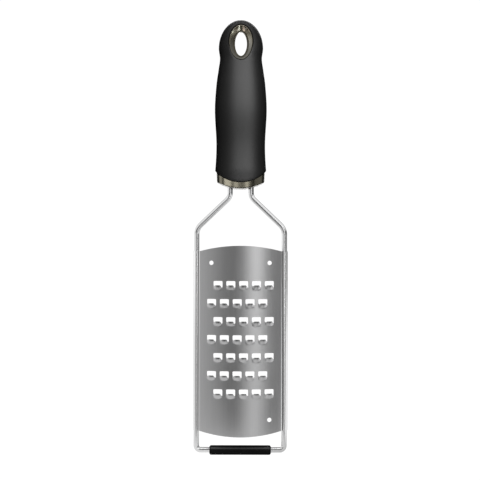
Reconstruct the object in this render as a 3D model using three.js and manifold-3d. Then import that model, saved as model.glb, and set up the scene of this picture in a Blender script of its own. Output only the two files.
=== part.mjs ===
// Coarse hand grater: an arched, toothed steel blade is rolled onto a bent wire frame, whose ends are held
// in a soft handle with a metallised collar and hang eye. A rubber sleeve on the bottom bar is its foot.
// Millimetres. +Z runs up to the handle's end, the grating face looks towards -Y, and the origin is the
// top of the hang eye's throat, where a hook bears.
import * as THREE from "three";
import { mergeGeometries, mergeVertices } from "three/addons/utils/BufferGeometryUtils.js";
import Module from "manifold-3d";

const wasm = await Module();
wasm.setup();

// Clearances between pieces that seat on each other
const fitGap = 0.3;
const hemGap = 0.15; // the blade's hems are rolled tight on the wire

// Wire frame
const wireDiameter = 4.05;
const frameWidth = 65.1; // between the centre lines of the side wires
const sideRise = 164; // bottom bar to the outer bend of the shoulder
const shoulderRise = 23.6;
const neckSpacing = 15.55;
const neckRise = 6; // inner bend of the shoulder to the handle's lower end
const tangLength = 60; // held inside the handle
const bottomBend = 3.2;
const shoulderBend = 10;
const neckBend = 7.5;

// Foot sleeve
const footLength = 45.6;
const footHeight = 6.5;
const footDepth = 7.6;
const footCorner = 1.5;

// Blade sheet
const sheetThickness = 0.4;
const bladeLength = 132.75; // between the ends of its rolled hems
const bladeGap = 14.65; // bottom bar to the lower end of the hems
const edgeBow = 4.1; // rise of the curved top and bottom edges
const archRadius = 88;
const edgeRadius = 0.5; // the arch's edges bend back to the wire
const edgeHeading = THREE.MathUtils.degToRad(70);
const flankLength = 0.8; // straight stretch between that bend and the crease before the hem
const creaseRadius = 0.35;
const hemStart = THREE.MathUtils.degToRad(62); // angle round the wire, from its inner side
const hemEnd = THREE.MathUtils.degToRad(250);

// Teeth and holes
const toothRows = 7;
const toothColumns = 5;
const rowPitch = 13.29;
const columnPitch = 9.44;
const rowShift = 2.36; // odd rows lie to the right of the middle by this, even rows to the left
const firstRowDrop = 21.85; // upper end of the hems to the first row's windows
const windowWidth = 6.7;
const windowHeight = 3.15;
const windowCorner = 0.8;
const toothWidth = 6.3;
const toothLength = 3.5;
const toothHeight = 1.7;
const holeDiameter = 3.2;
const holeSpacing = 42.9;
const holeInset = 8.5; // from the nearest end of the hems

// Handle: heights run up from its lower end, from one station of the outline to the next
const collarHeight = 4.6; // at the middle of the front
const gripEdgeSag = 8.6; // dip of the grip's lower edge
const collarEdgeSag = 5.1; // dip of the collar's lower edge
const lipToWaist = 18.8;
const waistToBelly = 26.8;
const bellyToFlank = 17.8;
const flankToShoulder = 11.8;
const shoulderToNeck = 8.3;
const neckToBall = 7.3;
const ballToTip = 21.3;
const lipWidth = 37.9;
const lipDepth = 29.6;
const waistWidth = 36.1;
const waistDepth = 27.8;
const bellyWidth = 38.5;
const bellyDepth = 30.2;
const flankWidth = 36.4;
const flankDepth = 28.2;
const shoulderWidth = 33.2;
const shoulderDepth = 25.2;
const neckWidth = 31.05;
const neckDepth = 23.2;
const ballWidth = 32.9;
const ballDepth = 23.8;
const squareness = 2.3; // exponent of the section's superellipse, 2 is a plain ellipse
const gripWall = 2.5;
const lipOverhang = 0.9; // the grip's lip stands proud of the collar by this
const collarTaper = 0.6;
const collarFloor = 2.4;

// Hang eye
const eyeDrop = 17.7; // handle's tip to the middle of the eye
const throatWidth = 8.8;
const throatHeight = 17.8;
const eyeFlare = 4.05; // width of the trim round the throat
const ledgeWidth = 0.85; // flat step between the throat and the funnel
const ledgeDepth = 1.6; // of that step, from the mid-plane

// Fineness of round forms
const wireSides = 12;
const bendSteps = 5;
const sectionSides = 24;
const rowsPerStation = 2;
const capRows = 6;
const archSteps = 7;
const edgeSteps = 3;
const creaseSteps = 4;
const hemSteps = 9;
const toothSides = 12;
const toothRings = 6;
const holeSides = 12;
const arcSteps = 8;

// Sizes that follow
const wireRadius = wireDiameter / 2;
const socketRadius = wireRadius + fitGap;
const sideX = frameWidth / 2;
const neckX = neckSpacing / 2;
const barZ = footHeight / 2;
const shoulderLowZ = barZ + sideRise;
const shoulderTopZ = shoulderLowZ + shoulderRise;
const handleZ = shoulderTopZ + neckRise;
const bladeLowZ = barZ + bladeGap;
const bladeTopZ = bladeLowZ + bladeLength;
const lipHeight = collarHeight + gripEdgeSag;

// A cutter has to pass right through what it cuts.
const bladeReach = bladeLength + 4 * edgeBow;
const throughDepth = 2 * Math.max(lipDepth, waistDepth, bellyDepth, flankDepth, ballDepth);

// Directions in which a flat outline is drawn and extruded
const unitX = new THREE.Vector3(1, 0, 0);
const unitY = new THREE.Vector3(0, 1, 0);
const unitZ = new THREE.Vector3(0, 0, 1);
const topView = new THREE.Matrix4();
const frontView = new THREE.Matrix4().makeBasis(unitX, unitZ, unitY.clone().negate());
const sideView = new THREE.Matrix4().makeBasis(unitY, unitZ, unitX);

const count = (n) => Array.from({ length: n }, (_, i) => i);

// Solids and meshes

function positionsOnly(geometry) {
  const bare = geometry.index ? geometry.toNonIndexed() : geometry.clone();
  bare.deleteAttribute("normal");
  bare.deleteAttribute("uv");
  return bare;
}

function solid(geometry) {
  const merged = mergeVertices(positionsOnly(geometry));
  return new wasm.Manifold(
    new wasm.Mesh({
      numProp: 3,
      vertProperties: merged.attributes.position.array,
      triVerts: new Uint32Array(merged.index.array),
    }),
  );
}

function namedMesh(name, body, material) {
  const made = body.getMesh();
  const geometry = new THREE.BufferGeometry();
  geometry.setAttribute("position", new THREE.BufferAttribute(made.vertProperties, 3));
  geometry.setIndex(new THREE.BufferAttribute(made.triVerts, 1));
  geometry.computeVertexNormals();
  const mesh = new THREE.Mesh(geometry, material);
  mesh.name = name;
  return mesh;
}

// An outline extruded evenly to both sides of the plane it is drawn in.
function prism(shapes, depth, view) {
  const geometry = new THREE.ExtrudeGeometry(shapes, {
    depth,
    bevelEnabled: false,
    curveSegments: arcSteps,
  });
  return geometry.translate(0, 0, -depth / 2).applyMatrix4(view);
}

// A closed skin over loops of points. Its ends are fans to the first loop's middle and to the tip,
// or the last loop joins the first, as on a ring.
function skin(loops, { tip = null, ring = false } = {}) {
  const sides = loops[0].length;
  const points = loops.flat();
  const triangles = [];
  const bands = ring ? loops.length : loops.length - 1;
  for (const i of count(bands)) {
    const low = i * sides;
    const high = ((i + 1) % loops.length) * sides;
    for (const j of count(sides)) {
      const next = (j + 1) % sides;
      triangles.push(low + j, low + next, high + next, low + j, high + next, high + j);
    }
  }
  if (!ring) {
    const last = (loops.length - 1) * sides;
    const start = points.push(middleOf(loops[0])) - 1;
    const end = points.push(tip ?? middleOf(loops.at(-1))) - 1;
    for (const j of count(sides)) {
      const next = (j + 1) % sides;
      triangles.push(start, next, j, end, last + j, last + next);
    }
  }
  const geometry = new THREE.BufferGeometry().setFromPoints(points);
  geometry.setIndex(triangles);
  return geometry;
}

function middleOf(loop) {
  const sum = new THREE.Vector3();
  loop.forEach((point) => sum.add(point));
  return sum.divideScalar(loop.length);
}

// A rounded rectangle drawn about a middle point.
function roundedRectangle(x, y, width, height, corner) {
  const shape = new THREE.Shape();
  const right = x + width / 2;
  const left = x - width / 2;
  const top = y + height / 2;
  const low = y - height / 2;
  const r = Math.min(corner, width / 2, height / 2);
  shape.moveTo(left + r, low);
  shape.absarc(right - r, low + r, r, -Math.PI / 2, 0);
  shape.absarc(right - r, top - r, r, 0, Math.PI / 2);
  shape.absarc(left + r, top - r, r, Math.PI / 2, Math.PI);
  shape.absarc(left + r, low + r, r, Math.PI, 1.5 * Math.PI);
  return shape;
}

function arcRadius(halfChord, sag) {
  return (halfChord * halfChord + sag * sag) / (2 * sag);
}

// Wire frame: one rod along a flat path with rounded corners

function roundedPath(corners, bends) {
  return corners.flatMap((corner, i) => {
    if (!bends[i]) {
      return [corner];
    }
    const back = corners[i - 1].clone().sub(corner).normalize();
    const ahead = corners[i + 1].clone().sub(corner).normalize();
    const turn = Math.PI - Math.acos(back.dot(ahead));
    const way = -Math.sign(back.cross(ahead));
    const toMiddle = bends[i] / Math.cos(turn / 2);
    const middle = back.clone().add(ahead).setLength(toMiddle).add(corner);
    const start = back.setLength(bends[i] * Math.tan(turn / 2)).add(corner);
    return count(bendSteps + 1).map((k) =>
      start.clone().rotateAround(middle, (way * turn * k) / bendSteps),
    );
  });
}

function frameWire() {
  const tangTopZ = handleZ + tangLength;
  const rightSide = [
    [neckX, tangTopZ, 0],
    [neckX, shoulderTopZ, neckBend],
    [sideX, shoulderLowZ, shoulderBend],
    [sideX, barZ, bottomBend],
  ];
  const leftSide = rightSide.map(([x, z, bend]) => [-x, z, bend]).reverse();
  const whole = [...rightSide, ...leftSide];
  const path = roundedPath(
    whole.map(([x, z]) => new THREE.Vector2(x, z)),
    whole.map(([, , bend]) => bend),
  );
  const loops = path.map((point, i) => {
    const before = path[Math.max(i - 1, 0)];
    const after = path[Math.min(i + 1, path.length - 1)];
    const along = after.clone().sub(before).normalize();
    return count(wireSides).map((k) => {
      const angle = (2 * Math.PI * k) / wireSides;
      const across = wireRadius * Math.cos(angle);
      return new THREE.Vector3(
        point.x + across * along.y,
        wireRadius * Math.sin(angle),
        point.y - across * along.x,
      );
    });
  });
  return solid(skin(loops));
}

function footSleeve() {
  const section = roundedRectangle(0, barZ, footDepth, footHeight, footCorner);
  const bore = new THREE.Path().absarc(0, barZ, socketRadius, 0, 2 * Math.PI, true);
  section.holes.push(bore);
  const face = roundedRectangle(0, barZ, footLength, footHeight, footCorner);
  const sleeve = solid(prism(section, footLength, sideView));
  return sleeve.intersect(solid(prism(face, 2 * footDepth, frontView)));
}

// Blade: the section's centre line runs along the arch, bends back at its edge, turns in a crease and
// goes round the wire as a hem. A heading is the line's direction, measured from +X towards +Y.

const hemRadius = wireRadius + hemGap + sheetThickness / 2;
const creaseX = sideX - (hemRadius + creaseRadius) * Math.cos(hemStart);
const creaseY = -(hemRadius + creaseRadius) * Math.sin(hemStart);
const flankX = creaseX - creaseRadius * Math.sin(edgeHeading) - flankLength * Math.cos(edgeHeading);
const flankY = creaseY + creaseRadius * Math.cos(edgeHeading) - flankLength * Math.sin(edgeHeading);
const edgeX = flankX - edgeRadius * Math.sin(edgeHeading);
const edgeY = flankY + edgeRadius * Math.cos(edgeHeading);
const archHalfAngle = Math.asin(edgeX / (archRadius - edgeRadius));
const archMiddleY = edgeY + (archRadius - edgeRadius) * Math.cos(archHalfAngle);
const archHalfWidth = archRadius * Math.sin(archHalfAngle);

function archY(x) {
  return archMiddleY - Math.sqrt(archRadius * archRadius - x * x);
}

function sheetLine() {
  const arch = count(archSteps + 1).map((k) => {
    const heading = (archHalfAngle * k) / archSteps;
    const x = archRadius * Math.sin(heading);
    return { x, y: archY(x), heading };
  });
  const edge = count(edgeSteps).map((k) => {
    const heading = archHalfAngle + ((edgeHeading - archHalfAngle) * (k + 1)) / edgeSteps;
    return {
      x: edgeX + edgeRadius * Math.sin(heading),
      y: edgeY - edgeRadius * Math.cos(heading),
      heading,
    };
  });
  const creaseTurn = edgeHeading + Math.PI / 2 - hemStart;
  const crease = count(creaseSteps + 1).map((k) => {
    const heading = edgeHeading - (creaseTurn * k) / creaseSteps;
    return {
      x: creaseX - creaseRadius * Math.sin(heading),
      y: creaseY + creaseRadius * Math.cos(heading),
      heading,
    };
  });
  const hem = count(hemSteps).map((k) => {
    const angle = hemStart + ((hemEnd - hemStart) * (k + 1)) / hemSteps;
    return {
      x: sideX - hemRadius * Math.cos(angle),
      y: -hemRadius * Math.sin(angle),
      heading: angle - Math.PI / 2,
    };
  });
  const right = [...arch, ...edge, ...crease, ...hem];
  const left = right.slice(1).map(({ x, y, heading }) => ({ x: -x, y, heading: -heading }));
  return [...left.reverse(), ...right];
}

function sheetSide(line, offset) {
  return line.map(
    ({ x, y, heading }) =>
      new THREE.Vector2(x + offset * Math.sin(heading), y - offset * Math.cos(heading)),
  );
}

// Front outline: straight at the hems, bowed up at the top edge and down at the bottom edge.
function bladeOutline() {
  const bow = arcRadius(archHalfWidth, edgeBow);
  const spread = Math.asin(archHalfWidth / bow);
  const outerX = sideX + hemRadius + sheetThickness;
  const shape = new THREE.Shape();
  shape.moveTo(outerX, bladeLowZ);
  shape.lineTo(outerX, bladeTopZ);
  const topMiddle = bladeTopZ + edgeBow - bow;
  shape.absarc(0, topMiddle, bow, Math.PI / 2 - spread, Math.PI / 2 + spread);
  shape.lineTo(-outerX, bladeTopZ);
  shape.lineTo(-outerX, bladeLowZ);
  const lowMiddle = bladeLowZ - edgeBow + bow;
  shape.absarc(0, lowMiddle, bow, -Math.PI / 2 - spread, -Math.PI / 2 + spread);
  return shape;
}

const rowTops = count(toothRows).map((row) => bladeTopZ - firstRowDrop - row * rowPitch);

// The cutting edge of a tooth is the lower edge of its window.
const toothPlaces = rowTops.flatMap((topZ, row) =>
  count(toothColumns).map((column) => ({
    x: (column - (toothColumns - 1) / 2) * columnPitch + (row % 2 ? -rowShift : rowShift),
    edgeZ: topZ - windowHeight,
  })),
);

function windowShape({ x, edgeZ }) {
  const shape = new THREE.Shape();
  const right = x + windowWidth / 2;
  const left = x - windowWidth / 2;
  const cornerZ = edgeZ + windowHeight - windowCorner;
  shape.moveTo(left, edgeZ);
  shape.lineTo(right, edgeZ);
  shape.lineTo(right, cornerZ);
  shape.lineTo(right - windowCorner, cornerZ + windowCorner);
  shape.lineTo(left + windowCorner, cornerZ + windowCorner);
  shape.lineTo(left, cornerZ);
  return shape;
}

// A rounded scoop at each tooth, square to the arch, smaller all round by the inset.
function scoops(inset) {
  const one = new THREE.SphereGeometry(1, toothSides, toothRings).scale(
    toothWidth / 2 - inset,
    toothHeight - inset,
    toothLength - inset,
  );
  return mergeGeometries(
    toothPlaces.map(({ x, edgeZ }) => {
      const tilt = Math.asin(x / archRadius);
      return positionsOnly(one).rotateZ(tilt).translate(x, archY(x), edgeZ);
    }),
  );
}

function bladeHoles() {
  const x = holeSpacing / 2;
  const highZ = bladeTopZ - holeInset;
  const lowZ = bladeLowZ + holeInset;
  const places = [
    [-x, highZ],
    [x, highZ],
    [x, lowZ],
  ];
  return mergeGeometries(
    places.map(([holeX, holeZ]) =>
      positionsOnly(
        new THREE.CylinderGeometry(holeDiameter / 2, holeDiameter / 2, throughDepth, holeSides),
      ).translate(holeX, 0, holeZ),
    ),
  );
}

function blade() {
  const line = sheetLine();
  const front = sheetSide(line, sheetThickness / 2);
  const back = sheetSide(line, -sheetThickness / 2).reverse();
  const middleZ = (bladeLowZ + bladeTopZ) / 2;
  const section = prism(new THREE.Shape([...front, ...back]), bladeReach, topView);
  const outline = solid(prism(bladeOutline(), throughDepth, frontView));
  const sheet = solid(section.translate(0, 0, middleZ)).intersect(outline);

  // Only the half of each scoop below its cutting edge and in front of the sheet stays.
  const arch = line.filter(({ x }) => Math.abs(x) < archHalfWidth);
  const spanX = arch.at(-1).x;
  const beforeSheet = new THREE.Shape([
    ...sheetSide(arch, 0),
    new THREE.Vector2(spanX, -throughDepth),
    new THREE.Vector2(-spanX, -throughDepth),
  ]);
  const frontSpace = solid(prism(beforeSheet, bladeReach, topView).translate(0, 0, middleZ));
  const belowEdges = mergeGeometries(
    rowTops.map((topZ) =>
      positionsOnly(new THREE.BoxGeometry(frameWidth, throughDepth, toothLength)).translate(
        0,
        0,
        topZ - windowHeight - toothLength / 2,
      ),
    ),
  );
  const tongues = solid(scoops(0)).intersect(solid(belowEdges)).intersect(frontSpace);
  const windows = solid(prism(toothPlaces.map(windowShape), throughDepth, frontView));
  return sheet
    .add(tongues)
    .subtract(solid(scoops(sheetThickness)))
    .subtract(windows)
    .subtract(solid(bladeHoles()));
}

// Handle outline: widths and depths at the stations, joined by smooth curves without overshoot

const stations = [
  [lipHeight, lipWidth, lipDepth],
  [lipToWaist, waistWidth, waistDepth],
  [waistToBelly, bellyWidth, bellyDepth],
  [bellyToFlank, flankWidth, flankDepth],
  [flankToShoulder, shoulderWidth, shoulderDepth],
  [shoulderToNeck, neckWidth, neckDepth],
  [neckToBall, ballWidth, ballDepth],
];
const stationHeights = stations.map((_, i) =>
  stations.slice(0, i + 1).reduce((sum, [rise]) => sum + rise, 0),
);
const ballHeight = stationHeights.at(-1);
const tipHeight = ballHeight + ballToTip;
const eyeHeight = tipHeight - eyeDrop;

function smoothCurve(xs, ys) {
  const step = xs.slice(1).map((x, i) => x - xs[i]);
  const slope = step.map((dx, i) => (ys[i + 1] - ys[i]) / dx);
  const inner = slope.slice(1).map((s, i) => {
    const both = slope[i] * s;
    return both <= 0 ? 0 : (2 * both) / (slope[i] + s);
  });
  const first = ((2 * step[0] + step[1]) * slope[0] - step[0] * slope[1]) / (step[0] + step[1]);
  const tangent = [first, ...inner, 0];
  return (x) => {
    const i = Math.max(0, xs.findLastIndex((start) => start <= x));
    if (x <= xs[0] || i === xs.length - 1) {
      return ys[i];
    }
    const t = (x - xs[i]) / step[i];
    const bulge = (1 - t) * tangent[i] - t * tangent[i + 1] + (2 * t - 1) * slope[i];
    return ys[i] + t * step[i] * slope[i] + t * (1 - t) * step[i] * bulge;
  };
}

const widthAt = smoothCurve(stationHeights, stations.map(([, width]) => width));
const depthAt = smoothCurve(stationHeights, stations.map(([, , depth]) => depth));

// Half width and half depth at a height, smaller all round by the inset. Above the ball the handle
// closes as half an ellipsoid.
function halfSizes(height, inset) {
  const above = Math.max(0, height - ballHeight) / (ballToTip - inset);
  const closing = Math.sqrt(Math.max(0, 1 - above * above));
  return [
    (widthAt(height) / 2 - inset) * closing,
    (depthAt(height) / 2 - inset) * closing,
  ];
}

function sectionLoop(height, halfWidth, halfDepth) {
  const bend = (v) => Math.sign(v) * Math.abs(v) ** (2 / squareness);
  return count(sectionSides).map((k) => {
    const angle = (2 * Math.PI * k) / sectionSides;
    return new THREE.Vector3(
      halfWidth * bend(Math.cos(angle)),
      halfDepth * bend(Math.sin(angle)),
      height,
    );
  });
}

// The handle's form from a low height to its tip, smaller all round by the inset.
function handleForm(inset, lowHeight) {
  const between = stationHeights.slice(1).flatMap((high, i) => {
    const low = stationHeights[i];
    return count(rowsPerStation).map((k) => low + ((high - low) * k) / rowsPerStation);
  });
  const cap = count(capRows).map(
    (k) => ballHeight + (ballToTip - inset) * Math.sin((Math.PI / 2) * (k / capRows)),
  );
  const loops = [lowHeight, ...between, ...cap].map((height) =>
    sectionLoop(height, ...halfSizes(height, inset)),
  );
  return solid(skin(loops, { tip: new THREE.Vector3(0, 0, tipHeight - inset) }));
}

// Everything below an arc that dips to a height at the middle of the front view.
function belowArc(dipHeight, radius) {
  const reach = Math.min(radius, lipWidth / 2 + gripWall);
  const spread = Math.asin(reach / radius);
  const middle = dipHeight + radius;
  const shape = new THREE.Shape();
  shape.moveTo(-reach, -lipHeight);
  shape.lineTo(reach, -lipHeight);
  shape.absarc(0, middle, radius, -Math.PI / 2 + spread, -Math.PI / 2 - spread, true);
  return solid(prism(shape, throughDepth, frontView));
}

function eyeOpening(margin) {
  const shape = new THREE.Shape();
  const across = throatWidth / 2 + eyeFlare + margin;
  const up = throatHeight / 2 + eyeFlare + margin;
  shape.absellipse(0, eyeHeight, across, up, 0, 2 * Math.PI);
  const geometry = new THREE.ExtrudeGeometry(shape, {
    depth: throughDepth,
    bevelEnabled: false,
    curveSegments: sectionSides / 2,
  });
  return solid(geometry.translate(0, 0, -throughDepth / 2).applyMatrix4(frontView));
}

// Sockets of both tangs, up to a height.
function tangSockets(topHeight) {
  const length = topHeight + lipHeight;
  return mergeGeometries(
    [-neckX, neckX].map((x) =>
      positionsOnly(new THREE.CylinderGeometry(socketRadius, socketRadius, length, wireSides))
        .rotateX(Math.PI / 2)
        .translate(x, 0, topHeight - length / 2),
    ),
  );
}

const gripArc = arcRadius(lipWidth / 2, gripEdgeSag);
const collarTopHalf = [lipWidth / 2 - lipOverhang, lipDepth / 2 - lipOverhang];
const collarLowHalf = collarTopHalf.map((half) => half - collarTaper);
const collarArc = arcRadius(collarLowHalf[0], collarEdgeSag);

function gripSleeve() {
  const shell = handleForm(0, 0).subtract(handleForm(gripWall, -lipHeight));
  return shell.subtract(belowArc(collarHeight, gripArc)).subtract(eyeOpening(fitGap));
}

function handleCore() {
  const bottom = collarFloor + fitGap;
  return handleForm(gripWall + fitGap, -lipHeight)
    .subtract(belowArc(bottom, collarArc - bottom))
    .subtract(eyeOpening(fitGap))
    .subtract(solid(tangSockets(tangLength + fitGap)));
}

function collarCap() {
  const outer = skin([
    sectionLoop(0, ...collarLowHalf),
    sectionLoop(lipHeight, ...collarTopHalf),
  ]);
  const seat = handleForm(gripWall, -lipHeight).subtract(
    belowArc(collarFloor, collarArc - collarFloor),
  );
  return solid(outer)
    .intersect(belowArc(collarHeight - fitGap, gripArc + fitGap))
    .subtract(belowArc(0, collarArc))
    .subtract(seat)
    .subtract(solid(tangSockets(lipHeight)));
}

// One half of the hang eye's trim: a short throat at mid-depth, a flat step round it, and a funnel out to a
// rim flush with the grip.
function eyeletHalf(side) {
  const rimX = throatWidth / 2 + eyeFlare;
  const rimZ = throatHeight / 2 + eyeFlare;
  const seam = fitGap / 2;
  const loops = count(sectionSides).map((k) => {
    const angle = (-side * 2 * Math.PI * k) / sectionSides;
    const height = eyeHeight + rimZ * Math.sin(angle);
    const [halfWidth, halfDepth] = halfSizes(height, 0);
    const across = Math.abs((rimX * Math.cos(angle)) / halfWidth);
    const surface = halfDepth * (1 - across ** squareness) ** (1 / squareness);
    const point = (flare, depth) =>
      new THREE.Vector3(
        (throatWidth / 2 + eyeFlare * flare) * Math.cos(angle),
        side * depth,
        eyeHeight + (throatHeight / 2 + eyeFlare * flare) * Math.sin(angle),
      );
    return [
      point(0, seam),
      point(0, ledgeDepth),
      point(ledgeWidth / eyeFlare, ledgeDepth),
      point(1, surface),
      point(1, seam),
    ];
  });
  return solid(skin(loops, { ring: true }));
}

// Finishes
const satinSteel = new THREE.MeshStandardMaterial({ color: 0x97989a, metalness: 1, roughness: 0.38 });
const brightSteel = new THREE.MeshStandardMaterial({ color: 0xc8c9ca, metalness: 1, roughness: 0.2 });
const footRubber = new THREE.MeshStandardMaterial({ color: 0x131314, metalness: 0, roughness: 0.6 });
const corePlastic = new THREE.MeshStandardMaterial({ color: 0x1c1c1d, metalness: 0, roughness: 0.5 });
const softGrip = new THREE.MeshStandardMaterial({ color: 0x2b2b2c, metalness: 0, roughness: 0.55 });
const darkTrim = new THREE.MeshStandardMaterial({ color: 0x6d6756, metalness: 0.9, roughness: 0.35 });
const darkTrimBack = darkTrim.clone();
const collarTrim = darkTrim.clone();

// Assembly
const head = new THREE.Group();
head.add(namedMesh("blade", blade(), satinSteel));
head.add(namedMesh("frame_wire", frameWire(), brightSteel));
head.add(namedMesh("foot_sleeve", footSleeve(), footRubber));

const handle = new THREE.Group();
handle.position.z = handleZ;
handle.add(namedMesh("handle_core", handleCore(), corePlastic));
handle.add(namedMesh("grip_sleeve", gripSleeve(), softGrip));
handle.add(namedMesh("collar_cap", collarCap(), collarTrim));
handle.add(namedMesh("hang_eyelet_front", eyeletHalf(-1), darkTrim));
handle.add(namedMesh("hang_eyelet_back", eyeletHalf(1), darkTrimBack));

const standing = new THREE.Group();
standing.position.z = -(handleZ + eyeHeight + throatHeight / 2);
standing.add(head, handle);

const grater = new THREE.Group();
grater.name = "coarse_grater";
grater.add(standing);

export default grater;
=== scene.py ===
import math

import bmesh
import bpy
import numpy as np
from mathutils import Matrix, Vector


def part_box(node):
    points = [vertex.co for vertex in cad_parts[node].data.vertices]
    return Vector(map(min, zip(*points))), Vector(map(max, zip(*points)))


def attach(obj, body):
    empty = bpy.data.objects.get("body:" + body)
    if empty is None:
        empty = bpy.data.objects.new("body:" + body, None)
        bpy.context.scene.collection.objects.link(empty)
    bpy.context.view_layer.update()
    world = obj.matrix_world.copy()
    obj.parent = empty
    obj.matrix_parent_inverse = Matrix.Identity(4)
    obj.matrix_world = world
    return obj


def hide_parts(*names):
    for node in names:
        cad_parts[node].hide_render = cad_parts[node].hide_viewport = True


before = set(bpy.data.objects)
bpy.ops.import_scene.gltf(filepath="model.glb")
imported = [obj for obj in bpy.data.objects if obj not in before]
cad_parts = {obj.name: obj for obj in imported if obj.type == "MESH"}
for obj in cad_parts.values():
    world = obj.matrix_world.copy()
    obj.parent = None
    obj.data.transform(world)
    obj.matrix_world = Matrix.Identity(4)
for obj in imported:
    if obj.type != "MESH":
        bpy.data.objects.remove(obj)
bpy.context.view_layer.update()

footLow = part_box("foot_sleeve")[0].z  # heights below are in millimetres above the foot's underside
zeroPoint = np.array([0.0, 0.0, footLow])
mm = 0.001
print("frame loaded:", len(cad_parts), "nodes")


# Mesh tools: a piece is one or more grids of points, put together as whole arrays

# the four corners of every cell of a grid, whose rows or columns may close into a ring
def gridQuads(rows, cols, ringRows=False, ringCols=False):
    r = np.arange(rows if ringRows else rows - 1)[:, None]
    c = np.arange(cols if ringCols else cols - 1)[None, :]
    r2, c2 = (r + 1) % rows, (c + 1) % cols
    corners = np.broadcast_arrays(r * cols + c, r * cols + c2, r2 * cols + c2, r2 * cols + c)
    return np.stack(corners, -1).reshape(-1, 4)


# each patch is a grid of values and whether its columns close into a ring
def joinPatches(patches):
    values, quads, start = [], [], 0
    for grid, ring in patches:
        rows, cols, width = grid.shape
        values.append(grid.reshape(-1, width))
        quads.append(gridQuads(rows, cols, ringCols=ring) + start)
        start += rows * cols
    return np.vstack(values), np.vstack(quads)


# neighbouring patches share their border points; the offset keeps round values off the steps of the rounding
def weld(values, quads, grain=1e-4, offset=0.37):
    keys = np.round(values / grain + offset).astype(np.int64)
    _, first, same = np.unique(keys, axis=0, return_index=True, return_inverse=True)
    return values[first], same.reshape(-1)[quads]


def unit(vectors):
    return vectors / np.maximum(np.linalg.norm(vectors, axis=-1, keepdims=True), 1e-12)


# at each point, the cross products of the diagonals of its quads, added up
def pointNormals(points, quads):
    corner = points[quads]
    across = np.cross(corner[:, 2] - corner[:, 0], corner[:, 3] - corner[:, 1])
    total = np.zeros_like(points)
    np.add.at(total, quads.reshape(-1), np.repeat(across, 4, 0))
    return unit(total)


# a front surface, its back and a rim of quads along every open edge make one closed body
def closeShell(front, back, quads, shortest=1e-6):
    edges = np.stack([quads, np.roll(quads, -1, 1)], -1).reshape(-1, 2)
    _, which, uses = np.unique(np.sort(edges, 1), axis=0, return_inverse=True, return_counts=True)
    rim = edges[uses[which.reshape(-1)] == 1]
    rim = rim[np.linalg.norm(front[rim[:, 0]] - front[rim[:, 1]], axis=1) > shortest]
    n = len(front)
    walls = np.stack([rim[:, 1], rim[:, 0], rim[:, 0] + n, rim[:, 1] + n], 1)
    return np.vstack([front, back]), np.vstack([quads, quads[:, ::-1] + n, walls])


# a mesh in metres from points in millimetres, with its finish, on the frame's root body in place of its node
def putPiece(name, points, quads, finish, node, sharp=38, marks=None, merge=2e-7):
    mesh = bpy.data.meshes.new(name)
    mesh.vertices.add(len(points))
    mesh.vertices.foreach_set("co", (points * mm + zeroPoint).astype(np.float32).ravel())
    mesh.loops.add(quads.size)
    mesh.loops.foreach_set("vertex_index", quads.astype(np.int32).ravel())
    mesh.polygons.add(len(quads))
    mesh.polygons.foreach_set("loop_start", np.arange(0, quads.size, 4, dtype=np.int32))
    mesh.update(calc_edges=True)
    for key, values in (marks or {}).items():
        mesh.attributes.new(key, "FLOAT", "POINT").data.foreach_set("value", values.astype(np.float32))
    work = bmesh.new()
    work.from_mesh(mesh)
    bmesh.ops.remove_doubles(work, verts=work.verts, dist=merge)
    bmesh.ops.recalc_face_normals(work, faces=work.faces)
    work.to_mesh(mesh)
    work.free()
    mesh.shade_smooth()
    mesh.set_sharp_from_angle(angle=math.radians(sharp))
    mesh.materials.append(finish)
    piece = bpy.data.objects.new(name, mesh)
    bpy.context.scene.collection.objects.link(piece)
    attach(piece, "root")
    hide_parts(node)
    print("piece", name, len(mesh.polygons), "faces")
    return piece


# Shader tools: a Wire is a socket that works in Python expressions

class Wire:
    def __init__(self, finish, socket):
        self.finish, self.socket = finish, socket

    def math(self, operation, first, second=0.0):
        return self.finish.add("ShaderNodeMath", {"operation": operation}, {0: first, 1: second})

    def __add__(self, other):
        return self.math("ADD", self, other)

    def __sub__(self, other):
        return self.math("SUBTRACT", self, other)

    def __rsub__(self, other):
        return self.math("SUBTRACT", other, self)

    def __mul__(self, other):
        return self.math("MULTIPLY", self, other)

    def __truediv__(self, other):
        return self.math("DIVIDE", self, other)

    def __rtruediv__(self, other):
        return self.math("DIVIDE", other, self)

    def __pow__(self, other):
        return self.math("POWER", self, other)

    def __rpow__(self, other):
        return self.math("POWER", other, self)

    def __abs__(self):
        return self.math("ABSOLUTE", self)

    __radd__, __rmul__ = __add__, __mul__


# grey levels at places along a ramp
def setStops(elements, stops):
    while len(elements) < len(stops):
        elements.new(0.5)
    for element, (position, level) in zip(elements, stops):
        element.position = position
        element.color = (level, level, level, 1)


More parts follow.
